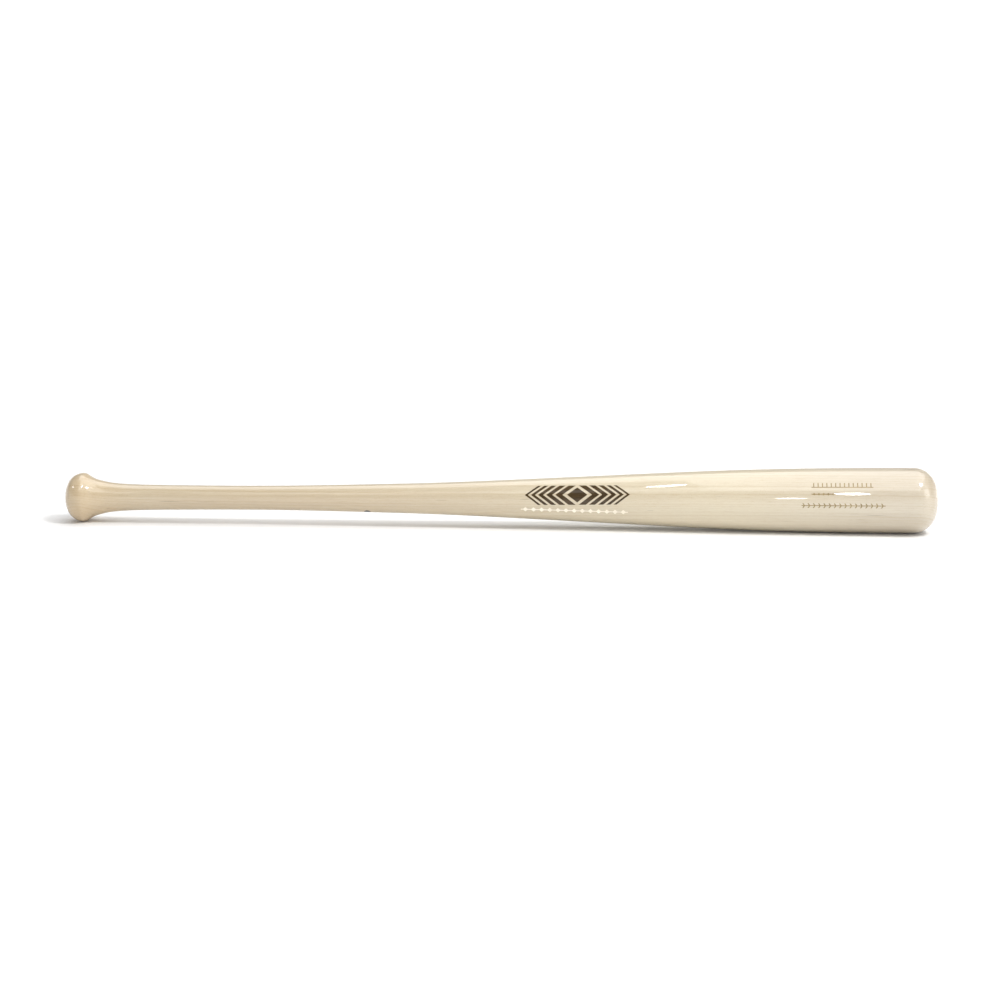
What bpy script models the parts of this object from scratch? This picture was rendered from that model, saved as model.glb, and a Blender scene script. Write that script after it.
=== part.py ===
"""One-piece wooden baseball bat: a turned maple billet, its stamped foil marks and its ink dot.

The bat is modelled upright, with its turning axis on Z and its knob end at z = 0. An empty then
lays it down on the floor plane, where it rests on the rim of its knob and on its barrel.
Design values are millimetres and degrees, and the scene is in metres.
"""
import math

import bpy
import bmesh
import numpy as np

MM = 0.001
INCH = 25.4

# Turning: overall sizes
LENGTH = 34 * INCH
BARREL_DIAMETER = 64.0
KNOB_DIAMETER = 49.0
KNOB_END_RADIUS = 16.0      # rounding between the knob's flat end and its rim
KNOB_RIM_RADIUS = 8.0       # rounding behind the rim, where the hand rests
KNOB_RIM_ANGLE = 36.0       # how far that rounding turns before it flows into the flare
BARREL_END_RADIUS = 22.5    # rounding between the barrel and its flat end
SEGMENTS = 40               # flats around the bat, with one of them facing down
ARC_STEPS = 8
SPLINE_STEP = 24.0          # distance between turned stations along the taper
SHARP_ANGLE = 30.0          # an edge that bends more than this is shaded sharp

# Turning template: distance from the knob end, and diameter there
TEMPLATE = [
    (27.0, 38.4), (33.0, 34.6), (40.0, 31.3), (52.0, 28.2), (68.0, 26.4), (90.0, 25.4),
    (125.0, 24.7), (170.0, 24.3), (210.0, 24.5), (260.0, 26.1), (320.0, 28.7), (380.0, 32.2),
    (440.0, 37.4), (500.0, 43.2), (560.0, 49.1), (620.0, 54.9), (680.0, 59.6), (740.0, 62.5),
    (790.0, 63.7),
]

# Foil marks and ink dot
FOIL = 0.3                  # thickness of the stand-in for the film
GAP = 0.3                   # clearance below and around the film in its pocket
CUTTER_OVERSHOOT = 1.0      # how far a pocket's cutter stands out of the wood
RING_MARGIN = 25.0          # how far the film's turned layer runs past the artwork
PRISM_NEAR = 5.0            # where the artwork's prisms start, measured from the bat's axis
PRISM_FAR = 45.0            # and where they end, outside the barrel
MARK_FACE_ANGLE = 20.8      # the marks face the front, and this far above the horizontal
DOT_STATION = 12 * INCH
DOT_DIAMETER = 0.25 * INCH
DOT_TURN = -84.0            # from the marks round to the flat of the grain


def natural_spline(points, first_slope, last_slope):
    """Second derivatives of the cubic spline through the points, with both end slopes given."""
    x, y = np.array(points).T
    step = np.diff(x)
    chord = np.diff(y) / step
    count = len(x)
    matrix = np.zeros((count, count))
    target = np.zeros(count)
    matrix[0, :2] = 2 * step[0], step[0]
    target[0] = 6 * (chord[0] - first_slope)
    matrix[-1, -2:] = step[-1], 2 * step[-1]
    target[-1] = 6 * (last_slope - chord[-1])
    for i in range(1, count - 1):
        matrix[i, i - 1:i + 2] = step[i - 1], 2 * (step[i - 1] + step[i]), step[i]
        target[i] = 6 * (chord[i] - chord[i - 1])
    return x, y, np.linalg.solve(matrix, target)


def spline_value(spline, at):
    x, y, bend = spline
    i = int(np.clip(np.searchsorted(x, at) - 1, 0, len(x) - 2))
    step = x[i + 1] - x[i]
    left = (x[i + 1] - at) / step
    right = (at - x[i]) / step
    curve = (left ** 3 - left) * bend[i] + (right ** 3 - right) * bend[i + 1]
    return left * y[i] + right * y[i + 1] + curve * step ** 2 / 6


def turned_outline():
    """(height, radius) pairs from the centre of the knob end to the centre of the barrel end."""
    knob = KNOB_DIAMETER / 2
    barrel = BARREL_DIAMETER / 2
    barrel_start = LENGTH - BARREL_END_RADIUS
    outline = [(0.0, 0.0)]
    for i in range(ARC_STEPS + 1):
        turn = math.radians(90 * i / ARC_STEPS)
        outline.append((KNOB_END_RADIUS * (1 - math.cos(turn)),
                        knob - KNOB_END_RADIUS * (1 - math.sin(turn))))
    rim_steps = ARC_STEPS // 2
    for i in range(1, rim_steps + 1):
        turn = math.radians(KNOB_RIM_ANGLE * i / rim_steps)
        outline.append((KNOB_END_RADIUS + KNOB_RIM_RADIUS * math.sin(turn),
                        knob - KNOB_RIM_RADIUS * (1 - math.cos(turn))))

    taper = [outline[-1]]
    taper += [(station, diameter / 2) for station, diameter in TEMPLATE]
    taper += [(barrel_start, barrel)]
    spline = natural_spline(taper, -math.tan(math.radians(KNOB_RIM_ANGLE)), 0.0)
    flare = [station for station, _ in TEMPLATE if station < 100]
    steps = round((barrel_start - flare[-1]) / SPLINE_STEP)
    stations = flare + list(np.linspace(flare[-1], barrel_start, steps + 1)[1:])
    outline += [(float(at), float(spline_value(spline, at))) for at in stations]

    for i in range(1, ARC_STEPS + 1):
        turn = math.radians(90 * i / ARC_STEPS)
        outline.append((barrel_start + BARREL_END_RADIUS * math.sin(turn),
                        barrel - BARREL_END_RADIUS * (1 - math.cos(turn))))
    outline.append((LENGTH, 0.0))
    return outline


def resting_pose(outline):
    """Tilt and place of the bat, laid on a flat at its knob rim and a flat of its barrel."""
    flat = math.cos(math.pi / SEGMENTS)
    tilt = 0.0
    for _ in range(10):
        def depth(point):
            return point[1] * flat - point[0] * math.tan(tilt)
        knob = max((p for p in outline if p[0] < LENGTH / 2), key=depth)
        barrel = max((p for p in outline if p[0] > LENGTH / 2), key=depth)
        tilt = math.atan((barrel[1] - knob[1]) * flat / (barrel[0] - knob[0]))
    height = knob[1] * flat * math.cos(tilt) - knob[0] * math.sin(tilt)
    low = min(z * math.cos(tilt) - r * math.sin(tilt) for z, r in outline)
    high = max(z * math.cos(tilt) + r * math.sin(tilt) for z, r in outline)
    return tilt, -(low + high) / 2, height


def clear_scene():
    for item in list(bpy.data.objects):
        bpy.data.objects.remove(item, do_unlink=True)


def add_collection(name):
    collection = bpy.data.collections.new(name)
    bpy.context.scene.collection.children.link(collection)
    return collection


def add_material(name, colour, roughness, metallic=0.0, coat=0.0):
    material = bpy.data.materials.new(name)
    material.use_nodes = True
    shader = material.node_tree.nodes["Principled BSDF"]
    shader.inputs["Base Color"].default_value = (*colour, 1.0)
    shader.inputs["Roughness"].default_value = roughness
    shader.inputs["Metallic"].default_value = metallic
    shader.inputs["Coat Weight"].default_value = coat
    material.diffuse_color = (*colour, 1.0)
    return material


def add_object(name, mesh, collection, parent, material=None):
    item = bpy.data.objects.new(name, mesh)
    collection.objects.link(item)
    item.parent = parent
    if material:
        mesh.materials.append(material)
    return item


def turn(name, outline, collection, parent, material=None, closed=False):
    """Turns an outline of (height, radius) pairs round Z. Its outer side runs from low to high."""
    start = math.pi / SEGMENTS
    mesh = bpy.data.meshes.new(name)
    shape = bmesh.new()
    corners = []
    for z, r in reversed(outline):
        corners.append(shape.verts.new((r * math.cos(start) * MM, r * math.sin(start) * MM, z * MM)))
    for a, b in zip(corners, corners[1:]):
        shape.edges.new((a, b))
    if closed:
        shape.edges.new((corners[-1], corners[0]))
    shape.to_mesh(mesh)
    shape.free()
    item = add_object(name, mesh, collection, parent, material)
    screw = item.modifiers.new("turning", "SCREW")
    screw.axis = "Z"
    screw.steps = SEGMENTS
    screw.render_steps = SEGMENTS
    screw.use_merge_vertices = True
    screw.merge_threshold = 0.00001
    return item


def ring_outline(outline, low, high, inner, outer):
    """A closed outline between two depths below the turned surface, from low to high."""
    side = [(z, r) for z, r in outline if low < z < high]
    return [(z, r - outer) for z, r in side] + [(z, r - inner) for z, r in reversed(side)]


# Artwork: closed outlines, counter-clockwise, in (along the bat, up the side) millimetres

def lozenge(half_length, half_height):
    return [(half_length, 0), (0, half_height), (-half_length, 0), (0, -half_height)]


def chevron(notch, width, lean, half_height, side):
    """An arrow stroke that points away from the middle, with its notch at the given distance."""
    points = [(notch, 0), (notch - lean, -half_height), (notch - lean + width, -half_height),
              (notch + width, 0), (notch - lean + width, half_height), (notch - lean, half_height)]
    if side > 0:
        return points
    return [(-along, up) for along, up in reversed(points)]


def disc(diameter, corners=16):
    turns = [2 * math.pi * (i + 0.5) / corners for i in range(corners)]
    return [(diameter / 2 * math.cos(a), diameter / 2 * math.sin(a)) for a in turns]


def toothed_rule(length, thickness, pitch, tooth, both_sides=True):
    """A straight rule with the same tooth, a list of (along, rise), repeated along its edges."""
    count = int(length / pitch)
    middles = [(i - (count - 1) / 2) * pitch for i in range(count)]
    edge = thickness / 2
    upper = [(-length / 2, edge)]
    for middle in middles:
        upper += [(middle + along, edge + rise) for along, rise in tooth]
    upper += [(length / 2, edge)]
    lower = [(along, -up) for along, up in upper] if both_sides else [
        (-length / 2, -edge), (length / 2, -edge)]
    return lower + upper[::-1]


def main_mark():
    """A solid lozenge between chevrons that thin out towards both ends."""
    figures = {"main_mark_lozenge": lozenge(10, 7.5)}
    notch = 14.5
    for number, width in enumerate((7, 6, 5, 4, 3), start=1):
        for side, word in ((-1, "left"), (1, "right")):
            figures[f"main_mark_chevron_{word}_{number}"] = chevron(notch, width, 13, 9.6, side)
        notch += width + 3
    return figures


BEAD = [(-2.2, 0), (0, 2.0), (2.2, 0)]
SMALL_BEAD = [(-1.0, 0), (0, 0.8), (1.0, 0)]
TICK = [(-0.5, 0), (-0.5, 4.2), (0.5, 4.2), (0.5, 0)]
STITCH = [(-0.6, 0), (-1.9, 1.9), (-0.7, 1.9), (0.6, 0)]


def grown(points, margin):
    """The outline with each side moved outwards by the margin."""
    corners = np.array(points, dtype=float)
    sides = np.roll(corners, -1, axis=0) - corners
    sides /= np.linalg.norm(sides, axis=1)[:, None]
    outward = np.column_stack((sides[:, 1], -sides[:, 0]))
    result = []
    for i in range(len(corners)):
        before, after = outward[i - 1], outward[i]
        shift = (before + after) / (1 + before @ after)
        result.append(tuple(corners[i] + margin * shift))
    return result


def boolean(item, operation, cutter):
    modifier = item.modifiers.new(operation.lower(), "BOOLEAN")
    modifier.operation = operation
    modifier.solver = "EXACT"
    modifier.object = cutter


def hide_cutter(item):
    item.hide_render = True
    item.display_type = "WIRE"


def prism(name, figures, station, turned, collection, parent):
    """The artwork as a hidden cutter that points straight out of one side of the bat."""
    curve = bpy.data.curves.new(name, "CURVE")
    curve.dimensions = "2D"
    curve.fill_mode = "BOTH"
    curve.extrude = (PRISM_FAR - PRISM_NEAR) / 2 * MM
    for points in figures:
        spline = curve.splines.new("POLY")
        spline.points.add(len(points) - 1)
        spline.use_cyclic_u = True
        for corner, (along, up) in zip(spline.points, points):
            corner.co = (along * MM, up * MM, 0, 1)
    outline = bpy.data.objects.new(name, curve)
    collection.objects.link(outline)
    bpy.context.view_layer.update()
    seen = outline.evaluated_get(bpy.context.evaluated_depsgraph_get())
    mesh = bpy.data.meshes.new_from_object(seen)
    bpy.data.objects.remove(outline)
    bpy.data.curves.remove(curve)
    shape = bmesh.new()
    shape.from_mesh(mesh)
    bmesh.ops.remove_doubles(shape, verts=shape.verts, dist=0.00001)
    shape.to_mesh(mesh)
    shape.free()
    mesh.name = name
    item = add_object(name, mesh, collection, parent)
    # The curve's X runs along the bat, its Y up the side and its Z out of the bat.
    azimuth = math.radians(-90 - MARK_FACE_ANGLE - turned)
    middle = (PRISM_NEAR + PRISM_FAR) / 2 * MM
    item.location = (middle * math.cos(azimuth), middle * math.sin(azimuth), station * MM)
    item.rotation_euler = (math.pi / 2, -math.pi / 2, azimuth + math.pi / 2)
    hide_cutter(item)
    return item


def stamp(name, figures, station, turned, outline, wood, material, parts, cutters, parent):
    """Films of the artwork's shapes, flush with the wood in shallow pockets of their own."""
    reach = max(abs(along) for points in figures.values() for along, _ in points) + RING_MARGIN
    low, high = station - reach, station + reach
    layer = ring_outline(outline, low, high, FOIL, 0)
    for figure, points in figures.items():
        film = turn(figure, layer, parts, parent, material, closed=True)
        boolean(film, "INTERSECT",
                prism(figure + "_outline", [points], station, turned, cutters, parent))
    deep_layer = ring_outline(outline, low, high, FOIL + GAP, -CUTTER_OVERSHOOT)
    pocket = turn(name + "_pocket", deep_layer, cutters, parent, closed=True)
    hide_cutter(pocket)
    wider = [grown(points, GAP) for points in figures.values()]
    boolean(pocket, "INTERSECT",
            prism(name + "_pocket_outline", wider, station, turned, cutters, parent))
    boolean(wood, "DIFFERENCE", pocket)


def finish(item):
    """Applies the modifiers, and shades the round sides smooth up to their sharp edges."""
    seen = item.evaluated_get(bpy.context.evaluated_depsgraph_get())
    mesh = bpy.data.meshes.new_from_object(seen)
    item.modifiers.clear()
    item.data = mesh
    mesh.name = item.name
    mesh.shade_smooth()
    mesh.set_sharp_from_angle(angle=math.radians(SHARP_ANGLE))


def main():
    clear_scene()
    parts = add_collection("baseball_bat")
    cutters = add_collection("cutters")

    maple = add_material("clear_lacquered_maple", (0.74, 0.62, 0.44), 0.28, coat=1.0)
    bronze = add_material("bronze_foil", (0.12, 0.08, 0.04), 0.35, metallic=0.6)
    cream = add_material("cream_foil", (0.86, 0.80, 0.66), 0.4)
    tan = add_material("tan_foil", (0.40, 0.30, 0.16), 0.4, metallic=0.4)
    ink = add_material("black_ink", (0.02, 0.02, 0.025), 0.5)

    outline = turned_outline()
    tilt, along, height = resting_pose(outline)
    lying = bpy.data.objects.new("lying_at_rest", None)
    parts.objects.link(lying)
    lying.location = (along * MM, 0, height * MM)
    lying.rotation_euler = (0, math.pi / 2 - tilt, 0)

    wood = turn("wood_body", outline, parts, lying, maple)
    stamps = [
        ("main_mark", main_mark(), 514, 0.0, bronze),
        ("under_line", {"under_line": toothed_rule(105, 0.9, 8.0, BEAD)}, 511, -42.0, cream),
        ("barrel_scale", {"barrel_scale": toothed_rule(59, 0.9, 4.2, TICK, False)}, 770, 12.0, tan),
        ("barrel_rule", {"barrel_rule": toothed_rule(23, 0.9, 4.5, SMALL_BEAD)}, 752, -0.5, tan),
        ("barrel_seam", {"barrel_seam": toothed_rule(80, 0.8, 5.0, STITCH)}, 771, -21.0, tan),
        ("grain_dot", {"grain_dot": disc(DOT_DIAMETER)}, DOT_STATION, DOT_TURN, ink),
    ]
    for name, figures, station, turned, material in stamps:
        stamp(name, figures, station, turned, outline, wood, material, parts, cutters, lying)
    bpy.context.view_layer.update()
    solids = [item for item in parts.objects if item.type == "MESH"]
    for item in sorted(solids, key=lambda solid: solid == wood):
        finish(item)


main()
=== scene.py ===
"""Looks of the one-piece wooden baseball bat: lacquered maple, stamped foil and an ink dot.

The turned wood and the films are rebuilt finely from the same design values as the CAD model.
Design values are millimetres and degrees, and the scene is in metres: +X runs from the knob to
the barrel, -Y is the front, and the floor is z = 0.
"""
import math

import bmesh
import bpy
import numpy as np
from mathutils import Euler, Matrix, Vector

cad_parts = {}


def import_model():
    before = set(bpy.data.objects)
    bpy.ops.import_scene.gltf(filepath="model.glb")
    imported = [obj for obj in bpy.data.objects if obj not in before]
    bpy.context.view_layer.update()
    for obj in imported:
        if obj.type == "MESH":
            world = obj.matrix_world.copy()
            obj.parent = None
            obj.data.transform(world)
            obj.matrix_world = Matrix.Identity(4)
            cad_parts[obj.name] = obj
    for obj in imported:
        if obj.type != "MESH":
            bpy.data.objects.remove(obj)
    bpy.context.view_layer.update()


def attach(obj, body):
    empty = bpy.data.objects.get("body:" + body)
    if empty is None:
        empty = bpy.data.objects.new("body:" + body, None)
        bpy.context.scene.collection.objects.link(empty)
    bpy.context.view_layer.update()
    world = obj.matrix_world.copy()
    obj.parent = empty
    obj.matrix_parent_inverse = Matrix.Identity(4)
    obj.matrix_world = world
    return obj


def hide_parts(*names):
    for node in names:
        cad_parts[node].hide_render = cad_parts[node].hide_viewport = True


MM = 0.001
INCH = 25.4

# The turned shape, as in the CAD model
LENGTH = 34 * INCH
BARREL_DIAMETER = 64.0
KNOB_DIAMETER = 49.0
KNOB_END_RADIUS = 16.0      # rounding between the knob's flat end and its rim
KNOB_RIM_RADIUS = 8.0       # rounding behind the rim, where the hand rests
KNOB_RIM_ANGLE = 36.0       # how far that rounding turns before it flows into the flare
BARREL_END_RADIUS = 22.5    # rounding between the barrel and its flat end
# (distance from the knob's end, diameter)
TEMPLATE = [
    (27.0, 38.4), (33.0, 34.6), (40.0, 31.3), (52.0, 28.2), (68.0, 26.4), (90.0, 25.4),
    (125.0, 24.7), (170.0, 24.3), (210.0, 24.5), (260.0, 26.1), (320.0, 28.7), (380.0, 32.2),
    (440.0, 37.4), (500.0, 43.2), (560.0, 49.1), (620.0, 54.9), (680.0, 59.6), (740.0, 62.5),
    (790.0, 63.7),
]
SIDES = 144                 # around the bat
FLARE_END = 60.0            # the knob's flare is turned finely up to here
FLARE_STEPS = 35
STATION_STEP = 2.6          # along the taper behind it
FINE_ARC_STEPS = 22         # over each rounded end
TILT_ROUNDS = 10            # for the lying bat to find the two places that it rests on

# The wood's unwrap: two strips, the handle's half below and the barrel's above
HANDLE_STRIP = 0.44
BARREL_STRIP = 0.56
UNWRAP_MARGIN = 0.006

# The marks, as in the CAD model
MARK_FACE_ANGLE = 20.8      # the marks face the front, and this far above the horizontal
DOT_STATION = 12 * INCH
DOT_DIAMETER = 0.25 * INCH
DOT_TURN = -84.0            # from the marks round to the flat of the grain
FILM_PROUD = 0.02           # how far a film's face stands out of the wood
FILM_DEPTH = 0.12           # how far its body reaches into it
FILM_STRIP_LENGTH = 4.0     # a film is cut into strips of this length along the bat
FILM_STRIP_WIDTH = 0.7      # and of this width around it
FILM_SHARP_ANGLE = 40.0

# Camera
CAMERA_DISTANCE = 2.0
CAMERA_ELEVATION = 10.0
CAMERA_TURN = 4.44          # towards the barrel
CAMERA_TARGET = (0.0048, 0.0, 0.0272)
CAMERA_LENS = 72.6
CAMERA_SENSOR = 36.0

# The grain, in metres
PITH_ACROSS = 0.020         # how far the tree's pith lies from the bat's axis
PITH_DEPTH = 0.150
RING_PITCH = 0.0025

# The room's light: bright up to one elevation, dim from the other
BACKDROP_LIGHT = 1.12
BACKDROP_TOP = 6.0
ROOM_LIGHT = 0.30
ROOM_BOTTOM = 20.0


# ---------------------------------------------------------------- turned shape

def clamped_spline(points, first_slope, last_slope):
    """The smooth curve through the points that starts and ends with the given slopes."""
    x, y = np.array(points).T
    step = np.diff(x)
    chord = np.diff(y) / step
    count = len(x)
    matrix = np.zeros((count, count))
    target = np.zeros(count)
    matrix[0, :2] = 2 * step[0], step[0]
    target[0] = 6 * (chord[0] - first_slope)
    matrix[-1, -2:] = step[-1], 2 * step[-1]
    target[-1] = 6 * (last_slope - chord[-1])
    for i in range(1, count - 1):
        matrix[i, i - 1:i + 2] = step[i - 1], 2 * (step[i - 1] + step[i]), step[i]
        target[i] = 6 * (chord[i] - chord[i - 1])
    return x, y, np.linalg.solve(matrix, target)


def spline_value(spline, at):
    """The curve's height at one place along it."""
    x, y, bend = spline
    i = int(np.clip(np.searchsorted(x, at) - 1, 0, len(x) - 2))
    step = x[i + 1] - x[i]
    left = (x[i + 1] - at) / step
    right = (at - x[i]) / step
    curve = (left ** 3 - left) * bend[i] + (right ** 3 - right) * bend[i + 1]
    return left * y[i] + right * y[i + 1] + curve * step ** 2 / 6


RIM_TURN = math.radians(KNOB_RIM_ANGLE)
RIM_END = (KNOB_END_RADIUS + KNOB_RIM_RADIUS * math.sin(RIM_TURN),
           KNOB_DIAMETER / 2 - KNOB_RIM_RADIUS * (1 - math.cos(RIM_TURN)))
BARREL_START = LENGTH - BARREL_END_RADIUS
TAPER = clamped_spline(
    [RIM_END] + [(at, diameter / 2) for at, diameter in TEMPLATE]
    + [(BARREL_START, BARREL_DIAMETER / 2)], -math.tan(RIM_TURN), 0.0)


def turned_outline():
    """(height, radius) pairs from the rim of the knob's flat end to that of the barrel's."""
    knob, barrel = KNOB_DIAMETER / 2, BARREL_DIAMETER / 2
    outline = []
    for i in range(FINE_ARC_STEPS + 1):
        turn = math.pi / 2 * i / FINE_ARC_STEPS
        outline.append((KNOB_END_RADIUS * (1 - math.cos(turn)),
                        knob - KNOB_END_RADIUS * (1 - math.sin(turn))))
    rim_steps = FINE_ARC_STEPS // 2
    for i in range(1, rim_steps + 1):
        turn = RIM_TURN * i / rim_steps
        outline.append((KNOB_END_RADIUS + KNOB_RIM_RADIUS * math.sin(turn),
                        knob - KNOB_RIM_RADIUS * (1 - math.cos(turn))))
    stations = list(np.linspace(RIM_END[0], FLARE_END, FLARE_STEPS + 1)[1:])
    steps = round((BARREL_START - FLARE_END) / STATION_STEP)
    stations += list(np.linspace(FLARE_END, BARREL_START, steps + 1)[1:])
    outline += [(float(at), float(spline_value(TAPER, at))) for at in stations]
    for i in range(1, FINE_ARC_STEPS + 1):
        turn = math.pi / 2 * i / FINE_ARC_STEPS
        outline.append((BARREL_START + BARREL_END_RADIUS * math.sin(turn),
                        barrel - BARREL_END_RADIUS * (1 - math.cos(turn))))
    return outline


def lying_at_rest(outline):
    """The matrix that lays the upright bat on its knob's rim and its barrel."""
    tilt = 0.0
    for _ in range(TILT_ROUNDS):
        slope = math.tan(tilt)
        knob = max((p for p in outline if p[0] < LENGTH / 2), key=lambda p: p[1] - p[0] * slope)
        barrel = max((p for p in outline if p[0] > LENGTH / 2), key=lambda p: p[1] - p[0] * slope)
        tilt = math.atan((barrel[1] - knob[1]) / (barrel[0] - knob[0]))
    height = knob[1] * math.cos(tilt) - knob[0] * math.sin(tilt)
    low = min(z * math.cos(tilt) - r * math.sin(tilt) for z, r in outline)
    high = max(z * math.cos(tilt) + r * math.sin(tilt) for z, r in outline)
    place = Matrix.Translation((-(low + high) / 2 * MM, 0, height * MM))
    return place @ Euler((0, math.pi / 2 - tilt, 0)).to_matrix().to_4x4()


OUTLINE = turned_outline()
LYING = lying_at_rest(OUTLINE)


def on_bat(station, azimuth, radius):
    """The place in the scene of a point given by its station, its turn and its radius."""
    return LYING @ Vector((radius * math.cos(azimuth) * MM, radius * math.sin(azimuth) * MM,
                           station * MM))


def add_piece(name, mesh, material, node):
    """Puts a finished mesh in the scene in place of a CAD node."""
    piece = bpy.data.objects.new(name, mesh)
    bpy.context.scene.collection.objects.link(piece)
    mesh.materials.append(material)
    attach(piece, "root")
    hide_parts(node)
    return piece


def billet(material):
    """The turned wood: rings of quads closed by a fan at each flat end, with its own unwrap."""
    rings = [(0.0, (KNOB_DIAMETER / 2 - KNOB_END_RADIUS) / 2)] + OUTLINE
    rings += [(LENGTH, (BARREL_DIAMETER / 2 - BARREL_END_RADIUS) / 2)]
    places = []
    for station, radius in rings:
        for side in range(SIDES):
            places.append(on_bat(station, 2 * math.pi * side / SIDES, radius))
    knob_pole, barrel_pole = len(places), len(places) + 1
    places += [on_bat(0.0, 0, 0), on_bat(LENGTH, 0, 0)]

    half = next(i for i, ring in enumerate(rings) if ring[0] > LENGTH / 2)
    along = np.concatenate(([0], np.cumsum([math.dist(a, b) for a, b in zip(rings, rings[1:])])))

    def unwrap(row, ring, side):
        """The place in the unwrap of a corner of a face in the given row."""
        if row >= half:
            low, high, base, strip = along[half], along[-1], HANDLE_STRIP, BARREL_STRIP
        else:
            low, high, base, strip = 0.0, along[half], 0.0, HANDLE_STRIP
        u = (along[ring] - low) / (high - low)
        v = side / SIDES
        return (UNWRAP_MARGIN + u * (1 - 2 * UNWRAP_MARGIN),
                base + UNWRAP_MARGIN + v * (strip - 2 * UNWRAP_MARGIN))

    faces, corners = [], []
    for row in range(len(rings) - 1):
        for side in range(SIDES):
            a = row * SIDES + side
            b = row * SIDES + (side + 1) % SIDES
            faces.append((a, b, b + SIDES, a + SIDES))
            corners += [unwrap(row, row, side), unwrap(row, row, side + 1),
                        unwrap(row, row + 1, side + 1), unwrap(row, row + 1, side)]
    for row, pole, flip in ((0, knob_pole, True), (len(rings) - 1, barrel_pole, False)):
        for side in range(SIDES):
            a = row * SIDES + side
            b = row * SIDES + (side + 1) % SIDES
            faces.append((b, a, pole) if flip else (a, b, pole))
            fan = [unwrap(row, row, side), unwrap(row, row, side + 1), unwrap(row, row, side + 0.5)]
            corners += [fan[1], fan[0], fan[2]] if flip else fan
    mesh = bpy.data.meshes.new("billet")
    mesh.from_pydata(places, [], faces)
    layer = mesh.uv_layers.new(name="OFBake")
    layer.data.foreach_set("uv", [value for corner in corners for value in corner])
    mesh.shade_smooth()
    return add_piece("billet", mesh, material, "wood_body")


# ---------------------------------------------------------------- artwork, as in the CAD model

def lozenge(half_length, half_height):
    return [(half_length, 0), (0, half_height), (-half_length, 0), (0, -half_height)]


def chevron(notch, width, lean, half_height, side):
    """A band with a bend in it that points away from the middle of the mark."""
    points = [(notch, 0), (notch - lean, -half_height), (notch - lean + width, -half_height),
              (notch + width, 0), (notch - lean + width, half_height), (notch - lean, half_height)]
    if side > 0:
        return points
    return [(-along, up) for along, up in reversed(points)]


def disc(diameter):
    corners = 64
    turns = [2 * math.pi * (i + 0.5) / corners for i in range(corners)]
    return [(diameter / 2 * math.cos(a), diameter / 2 * math.sin(a)) for a in turns]


def toothed_rule(length, thickness, pitch, tooth, both_sides=True):
    """A thin bar with the same tooth repeated along its upper edge, or along both."""
    count = int(length / pitch)
    middles = [(i - (count - 1) / 2) * pitch for i in range(count)]
    edge = thickness / 2
    upper = [(-length / 2, edge)]
    for middle in middles:
        upper += [(middle + along, edge + rise) for along, rise in tooth]
    upper += [(length / 2, edge)]
    lower = [(along, -up) for along, up in upper] if both_sides else [
        (-length / 2, -edge), (length / 2, -edge)]
    return lower + upper[::-1]


def main_mark():
    """A solid lozenge between chevrons that thin out towards both ends."""
    figures = {"main_mark_lozenge": lozenge(10, 7.5)}
    notch, lean, half_height, gap = 14.5, 13, 9.6, 3
    for number, width in enumerate((7, 6, 5, 4, 3), start=1):
        for side, word in ((-1, "left"), (1, "right")):
            name = f"main_mark_chevron_{word}_{number}"
            figures[name] = chevron(notch, width, lean, half_height, side)
        notch += width + gap
    return figures


BEAD = [(-2.2, 0), (0, 2.0), (2.2, 0)]
SMALL_BEAD = [(-1.0, 0), (0, 0.8), (1.0, 0)]
TICK = [(-0.5, 0), (-0.5, 4.2), (0.5, 4.2), (0.5, 0)]
STITCH = [(-0.6, 0), (-1.9, 1.9), (-0.7, 1.9), (0.6, 0)]


def cut_across(shape, axis, spacing):
    """Cuts a flat figure into strips, so that it can follow the round of the wood."""
    values = [vertex.co[axis] for vertex in shape.verts]
    at = math.floor(min(values) / spacing + 1) * spacing
    while at < max(values):
        place, normal = Vector((0, 0, 0)), Vector((0, 0, 0))
        place[axis], normal[axis] = at, 1
        bmesh.ops.bisect_plane(shape, geom=shape.verts[:] + shape.edges[:] + shape.faces[:],
                               plane_co=place, plane_no=normal, dist=1e-5)
        at += spacing


def film(name, points, station, turned, material):
    """A thin closed sheet of the figure's shape that follows the turned surface."""
    shape = bmesh.new()
    shape.faces.new([shape.verts.new((along, up, 0)) for along, up in points])
    cut_across(shape, 1, FILM_STRIP_WIDTH)
    cut_across(shape, 0, FILM_STRIP_LENGTH)
    bmesh.ops.triangulate(shape, faces=shape.faces[:])
    bmesh.ops.solidify(shape, geom=shape.faces[:], thickness=1.0)
    middle = math.radians(-90 - MARK_FACE_ANGLE - turned)
    levels = [vertex.co.z for vertex in shape.verts]
    halfway = (min(levels) + max(levels)) / 2
    for vertex in shape.verts:
        along, up, level = vertex.co
        radius = spline_value(TAPER, station + along)
        azimuth = middle - math.asin(up / radius)
        lift = FILM_PROUD if level > halfway else -FILM_DEPTH
        vertex.co = on_bat(station + along, azimuth, radius + lift)
    bmesh.ops.recalc_face_normals(shape, faces=shape.faces[:])
    mesh = bpy.data.meshes.new(name)
    shape.to_mesh(mesh)
    shape.free()
    mesh.shade_smooth()
    mesh.set_sharp_from_angle(angle=math.radians(FILM_SHARP_ANGLE))
    return add_piece(name + "_film", mesh, material, name)


# ---------------------------------------------------------------- materials

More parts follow.
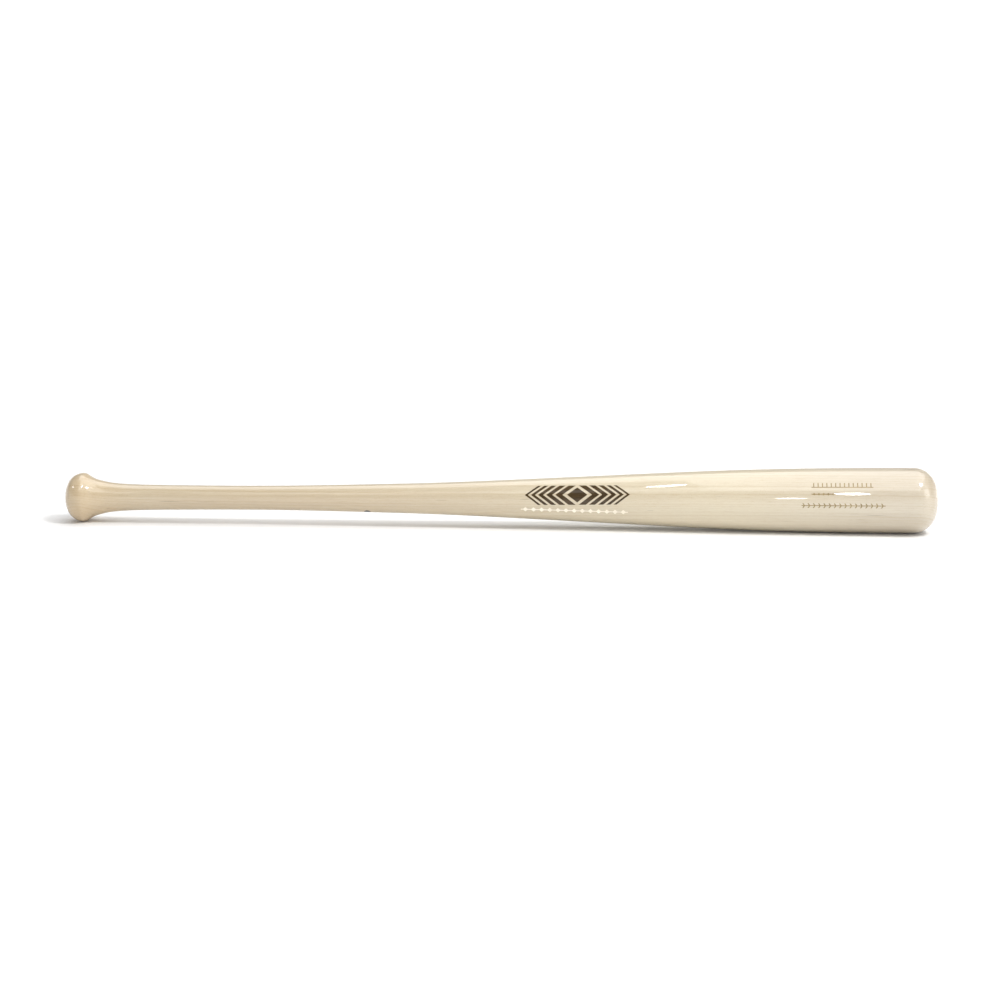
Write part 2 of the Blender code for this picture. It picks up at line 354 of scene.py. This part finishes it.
class Shader:
    """A short way to add linked nodes to a material that ends in a Principled BSDF."""

    def __init__(self, name):
        self.material = bpy.data.materials.new(name)
        self.material.use_nodes = True
        self.tree = self.material.node_tree
        self.surface = self.tree.nodes["Principled BSDF"]

    def connect(self, value, socket):
        if isinstance(value, bpy.types.NodeSocket):
            self.tree.links.new(value, socket)
        elif isinstance(value, bpy.types.Node):
            self.tree.links.new(value.outputs[0], socket)
        else:
            socket.default_value = value

    def add(self, kind, *inputs, **settings):
        """Adds a node. Positional inputs fill its sockets in order, and None leaves one alone."""
        node = self.tree.nodes.new(kind)
        named = settings.pop("named", {})
        for key, value in settings.items():
            setattr(node, key, value)
        for socket, value in zip(node.inputs, inputs):
            if value is not None:
                self.connect(value, socket)
        for key, value in named.items():
            self.connect(value, node.inputs[key])
        return node

    def math(self, operation, *inputs):
        return self.add("ShaderNodeMath", *inputs, operation=operation).outputs[0]

    def noise(self, place, scale, detail=2.0, roughness=0.5):
        named = {"Vector": place, "Scale": scale, "Detail": detail, "Roughness": roughness}
        return self.add("ShaderNodeTexNoise", named=named).outputs["Fac"]

    def stretch(self, place, scales):
        return self.add("ShaderNodeVectorMath", place, scales, operation="MULTIPLY").outputs[0]

    def ramp(self, factor, low, high):
        """0 below low and 1 above high, with a smooth step between."""
        named = {"Value": factor, "From Min": low, "From Max": high}
        node = self.add("ShaderNodeMapRange", named=named, interpolation_type="SMOOTHSTEP")
        return node.outputs[0]

    def mix(self, factor, first, second, blend="MIX"):
        node = self.tree.nodes.new("ShaderNodeMix")
        node.data_type = "RGBA"
        node.blend_type = blend
        self.connect(factor, node.inputs[0])
        self.connect(first, node.inputs[6])
        self.connect(second, node.inputs[7])
        return node.outputs[2]

    def tint(self, base, amount, strength, colour):
        """Darkens or lightens the base by a colour where the amount is 1."""
        factor = self.math("MULTIPLY", amount, strength)
        return self.mix(factor, base, (*colour, 1.0), "MULTIPLY")

    def set(self, **values):
        """Fills sockets of the surface, whose names have _ for each space."""
        for key, value in values.items():
            self.connect(value, self.surface.inputs[key.replace("_", " ")])


def lacquer(shader, place, weight=1.0):
    """A clear gloss coat with the faint unevenness of a dipped and rubbed finish."""
    flow = shader.noise(place, 140, detail=1.0)
    peel = shader.noise(place, 900, detail=1.0)
    height = shader.math("MULTIPLY_ADD", peel, 0.10, flow)
    bump = shader.add("ShaderNodeBump", named={"Strength": 1.0, "Distance": 0.000008,
                                               "Height": height})
    shader.set(Coat_Weight=weight, Coat_Roughness=0.025, Coat_IOR=1.6)
    shader.set(Coat_Normal=bump.outputs[0])


def maple():
    """Pale wood with growth layers, fibres, rays and a few streaks, with painted shade and light
    along the bat, under the lacquer.
    """
    shader = Shader("lacquered_maple")
    place = shader.add("ShaderNodeTexCoord").outputs["Object"]
    # In the grain's own axes the growth layers lie on top of each other along Z, so that the
    # marks are on the edge of the grain. X still runs along the bat.
    turned = shader.add("ShaderNodeMapping", place, named={
        "Rotation": (math.radians(MARK_FACE_ANGLE), 0, 0), "Location": (0, 0.012, -0.028)})
    grain = turned.outputs[0]

    # Growth rings round a pith outside the billet, with drifting and uneven spacing
    drift = shader.noise(shader.stretch(grain, (1.6, 14, 14)), 1.0, detail=3.0)
    wave = shader.noise(shader.stretch(grain, (9, 40, 40)), 1.0, detail=2.0)
    parts = shader.add("ShaderNodeSeparateXYZ", grain)
    across = shader.math("ADD", parts.outputs[1], PITH_ACROSS)
    depth = shader.math("ADD", parts.outputs[2], PITH_DEPTH)
    across = shader.math("POWER", across, 2.0)
    depth = shader.math("POWER", depth, 2.0)
    distance = shader.math("SQRT", shader.math("ADD", across, depth))
    distance = shader.math("MULTIPLY_ADD", drift, 0.0075, distance)
    distance = shader.math("MULTIPLY_ADD", wave, 0.0009, distance)
    uneven = shader.add("ShaderNodeTexNoise", noise_dimensions="1D",
                        named={"W": distance, "Scale": 160.0, "Detail": 1.0}).outputs["Fac"]
    shift = shader.math("MULTIPLY", uneven, 1.3)
    rings = shader.math("MULTIPLY_ADD", distance, 1 / RING_PITCH, shift)
    within = shader.math("FRACT", rings)
    number = shader.math("FLOOR", rings)
    strength = shader.add("ShaderNodeTexWhiteNoise", noise_dimensions="1D",
                          named={"W": number}).outputs["Value"]
    rise = shader.math("POWER", within, 5.0)
    fall = shader.ramp(within, 1.0, 0.96)
    line = shader.math("MULTIPLY", rise, fall)
    line = shader.math("MULTIPLY", line, shader.math("MULTIPLY_ADD", strength, 0.7, 0.3))

    # Broad clouds of tone, long fibres, rays and streaks
    clouds = shader.noise(shader.stretch(grain, (5, 55, 55)), 1.0, detail=2.0)
    tone = shader.noise(shader.stretch(grain, (2.2, 18, 18)), 1.0, detail=1.0)
    fibres = shader.noise(shader.stretch(grain, (55, 1500, 1500)), 1.0, detail=3.0, roughness=0.65)
    hairs = shader.noise(shader.stretch(grain, (140, 5200, 5200)), 1.0, detail=1.0)
    rays = shader.add("ShaderNodeTexVoronoi", named={
        "Vector": shader.stretch(grain, (900, 2600, 420)), "Scale": 1.0})
    ray_chance = shader.add("ShaderNodeSeparateColor", rays.outputs["Color"]).outputs[0]
    fleck = shader.math("MULTIPLY", shader.ramp(rays.outputs["Distance"], 0.34, 0.12),
                        shader.ramp(ray_chance, 0.45, 0.75))
    streak_field = shader.noise(shader.stretch(grain, (16, 420, 420)), 1.0, detail=2.0)
    streaks = shader.ramp(streak_field, 0.69, 0.76)

    base = shader.mix(shader.ramp(tone, 0.34, 0.68), (0.556, 0.463, 0.322, 1.0),
                      (0.515, 0.412, 0.276, 1.0))
    # Painted shade and light along the bat: the knob and handle are painted darker and warmer, the
    # barrel paler and cooler, and the barrel's far end a little darker again. This stands in for
    # light that falls stronger on the barrel than on the knob.
    along = parts.outputs[0]
    base = shader.tint(base, shader.ramp(along, -0.26, 0.14), 1.0, (1.10, 1.185, 1.265))
    base = shader.tint(base, shader.ramp(along, 0.20, 0.41), 1.0, (0.865, 0.865, 0.92))
    base = shader.tint(base, shader.ramp(along, -0.34, -0.42), 1.0, (1.0, 0.95, 0.87))
    base = shader.tint(base, shader.ramp(clouds, 0.3, 0.7), 0.5, (1.10, 1.13, 1.17))
    base = shader.tint(base, line, 0.70, (0.80, 0.70, 0.58))
    base = shader.tint(base, shader.ramp(fibres, 0.46, 0.72), 0.45, (0.86, 0.79, 0.70))
    base = shader.tint(base, shader.ramp(hairs, 0.54, 0.76), 0.40, (0.80, 0.72, 0.62))
    base = shader.tint(base, fleck, 0.60, (0.84, 0.76, 0.68))
    base = shader.tint(base, streaks, 0.75, (0.62, 0.60, 0.60))

    # End grain drinks the lacquer and looks darker and warmer
    normal = shader.add("ShaderNodeNewGeometry").outputs["Normal"]
    facing = shader.add("ShaderNodeSeparateXYZ", normal).outputs[0]
    end_grain = shader.ramp(shader.math("ABSOLUTE", facing), 0.45, 1.0)
    base = shader.tint(base, end_grain, 0.5, (0.74, 0.66, 0.56))

    rough = shader.math("MULTIPLY_ADD", fibres, 0.16, 0.34)
    relief = shader.math("MULTIPLY_ADD", line, -0.6, shader.math("MULTIPLY", fibres, 0.5))
    bump = shader.add("ShaderNodeBump", named={"Strength": 0.5, "Distance": 0.00002,
                                               "Height": relief})
    shader.set(Base_Color=base, Roughness=rough, Normal=bump.outputs[0])
    lacquer(shader, place)
    return shader.material


def foil(name, colour, deep, metal, roughness):
    """Stamped film: a little thinner over the fibres, with wood showing through as pinholes."""
    shader = Shader(name)
    place = shader.add("ShaderNodeTexCoord").outputs["Object"]
    fibres = shader.noise(shader.stretch(place, (90, 1500, 1500)), 1.0, detail=3.0)
    cloud = shader.noise(shader.stretch(place, (60, 160, 160)), 1.0, detail=2.0)
    pores = shader.noise(shader.stretch(place, (700, 3600, 3600)), 1.0, detail=1.0)
    base = shader.mix(shader.ramp(cloud, 0.3, 0.7), (*colour, 1.0), (*deep, 1.0))
    worn = [min(1.0, part * 1.9 + 0.01) for part in colour]
    thin = shader.math("MULTIPLY", shader.ramp(fibres, 0.50, 0.72), 0.35)
    base = shader.mix(thin, base, (*worn, 1.0))
    pinholes = shader.math("MULTIPLY", shader.ramp(pores, 0.72, 0.80), 0.6)
    base = shader.mix(pinholes, base, (0.62, 0.48, 0.31, 1.0))
    rough = shader.math("MULTIPLY_ADD", fibres, 0.25, roughness)
    shader.set(Base_Color=base, Roughness=rough, Metallic=metal, Specular_IOR_Level=0.2)
    lacquer(shader, place, weight=0.6)
    return shader.material


def ink():
    """A blot of black ink that has run a little unevenly into the wood."""
    shader = Shader("black_ink")
    place = shader.add("ShaderNodeTexCoord").outputs["Object"]
    blot = shader.noise(shader.stretch(place, (300, 900, 900)), 1.0, detail=3.0)
    base = shader.mix(shader.ramp(blot, 0.3, 0.75), (0.016, 0.016, 0.020, 1.0),
                      (0.060, 0.052, 0.050, 1.0))
    shader.set(Base_Color=base, Roughness=0.5)
    lacquer(shader, place)
    return shader.material


# ---------------------------------------------------------------- stage

def floor():
    """A matt white floor that is lit from within further out, so that it stays white there."""
    bpy.ops.mesh.primitive_plane_add(size=40, location=(0, 0, 0))
    plane = bpy.context.object
    plane.name = "floor"
    shader = Shader("white_table")
    place = shader.add("ShaderNodeTexCoord").outputs["Object"]
    # The distance is measured in ellipses that are longer along the bat than across it
    oval = shader.stretch(place, (1.5, 3.6, 0))
    distance = shader.add("ShaderNodeVectorMath", oval, operation="LENGTH").outputs["Value"]
    glow = shader.math("MULTIPLY", shader.ramp(distance, 0.9, 4.5), 1.15)
    shader.set(Base_Color=(0.93, 0.93, 0.93, 1.0), Roughness=0.6, Specular_IOR_Level=0.2)
    shader.set(Emission_Color=(1.0, 1.0, 1.0, 1.0), Emission_Strength=glow)
    plane.data.materials.append(shader.material)


def softbox(name, place, aim, width, height, power, spread=180, shape="RECTANGLE"):
    """An area lamp that lights and is reflected, but isn't seen itself."""
    data = bpy.data.lights.new(name, "AREA")
    data.shape = shape
    data.size = width
    data.size_y = height
    data.energy = power
    data.spread = math.radians(spread)
    lamp = bpy.data.objects.new(name, data)
    lamp.location = place
    lamp.rotation_euler = (Vector(aim) - Vector(place)).to_track_quat("-Z", "Y").to_euler()
    lamp.visible_camera = False
    bpy.context.scene.collection.objects.link(lamp)


def studio():
    """A dim room with a bright backdrop all round at the height of the horizon."""
    world = bpy.data.worlds.new("studio")
    bpy.context.scene.world = world
    world.use_nodes = True
    tree = world.node_tree
    place = tree.nodes.new("ShaderNodeTexCoord")
    parts = tree.nodes.new("ShaderNodeSeparateXYZ")
    height = tree.nodes.new("ShaderNodeMapRange")
    height.interpolation_type = "SMOOTHSTEP"
    tree.links.new(place.outputs["Generated"], parts.inputs[0])
    tree.links.new(parts.outputs["Z"], height.inputs["Value"])
    height.inputs["From Min"].default_value = math.sin(math.radians(BACKDROP_TOP))
    height.inputs["From Max"].default_value = math.sin(math.radians(ROOM_BOTTOM))
    height.inputs["To Min"].default_value = BACKDROP_LIGHT
    height.inputs["To Max"].default_value = ROOM_LIGHT
    tree.links.new(height.outputs[0], tree.nodes["Background"].inputs["Strength"])
    tree.nodes["Background"].inputs["Color"].default_value = (1.0, 1.0, 1.0, 1.0)


def lights():
    """Large soft lamps for the wood, and small round ones for its highlights."""
    softbox("overhead", (1.45, -1.35, 3.0), (1.45, -1.35, 0), 2.9, 3.3, 18.0, spread=105)
    softbox("behind", (0.50, 1.55, 3.0), (0.50, 1.55, 0), 4.2, 2.5, 62.0)
    softbox("front_high", (0.30, -1.9, 2.3), (0.1, 0, 0.03), 2.6, 0.8, 9.0)
    softbox("barrel_side", (2.6, -1.0, 1.2), (0.3, 0, 0.03), 1.2, 1.2, 12.0)
    softbox("key", (1.64, -0.98, 2.6), (0, 0, 0), 0.60, 0.60, 44.0, shape="ELLIPSE")
    softbox("knob_spot", (-2.7, -0.6, 1.9), (-0.4, 0, 0), 0.34, 0.34, 3.5, shape="ELLIPSE")
    softbox("front_strip", (0.455, -1.30, 0.83), (0.35, 0, 0.04), 0.078, 0.24, 1.0, shape="ELLIPSE")
    softbox("low_strip", (0.32, -1.47, 0.43), (0.29, 0, 0.04), 0.075, 0.11, 0.36, shape="ELLIPSE")
    softbox("high_strip", (0.050, -0.50, 1.33), (0.17, 0, 0.05), 0.056, 0.28, 0.9, shape="ELLIPSE")


def camera():
    """Looks at the front from a little towards the barrel and a little above."""
    data = bpy.data.cameras.new("camera")
    data.lens = CAMERA_LENS
    data.sensor_width = CAMERA_SENSOR
    item = bpy.data.objects.new("camera", data)
    bpy.context.scene.collection.objects.link(item)
    turn, lift = math.radians(CAMERA_TURN), math.radians(CAMERA_ELEVATION)
    away = Vector((math.sin(turn) * math.cos(lift), -math.cos(turn) * math.cos(lift),
                   math.sin(lift)))
    item.location = Vector(CAMERA_TARGET) + CAMERA_DISTANCE * away
    item.rotation_euler = (-away).to_track_quat("-Z", "Y").to_euler()
    bpy.context.scene.camera = item


def main():
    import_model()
    billet(maple())
    bronze = foil("bronze_foil", (0.058, 0.032, 0.007), (0.038, 0.020, 0.004), 0.35, 0.30)
    cream = foil("cream_foil", (0.86, 0.80, 0.68), (0.80, 0.73, 0.60), 0.0, 0.35)
    tan = foil("tan_foil", (0.28, 0.21, 0.10), (0.22, 0.16, 0.075), 0.4, 0.30)
    stamps = [
        (main_mark(), 514, 0.0, bronze, "bronze_foil"),
        ({"under_line": toothed_rule(105, 0.9, 8.0, BEAD)}, 511, -42.0, cream, "cream_foil"),
        ({"barrel_scale": toothed_rule(59, 0.9, 4.2, TICK, False)}, 770, 12.0, tan, "tan_foil"),
        ({"barrel_rule": toothed_rule(23, 0.9, 4.5, SMALL_BEAD)}, 752, -0.5, tan, "tan_foil"),
        ({"barrel_seam": toothed_rule(80, 0.8, 5.0, STITCH)}, 771, -21.0, tan, "tan_foil"),
        ({"grain_dot": disc(DOT_DIAMETER)}, DOT_STATION, DOT_TURN, ink(), "black_ink"),
    ]
    for figures, station, turned, material, slot in stamps:
        for name, points in figures.items():
            film(name, points, station, turned, material)
    floor()
    studio()
    lights()
    camera()
    bpy.context.scene.view_settings.view_transform = "Standard"


main()
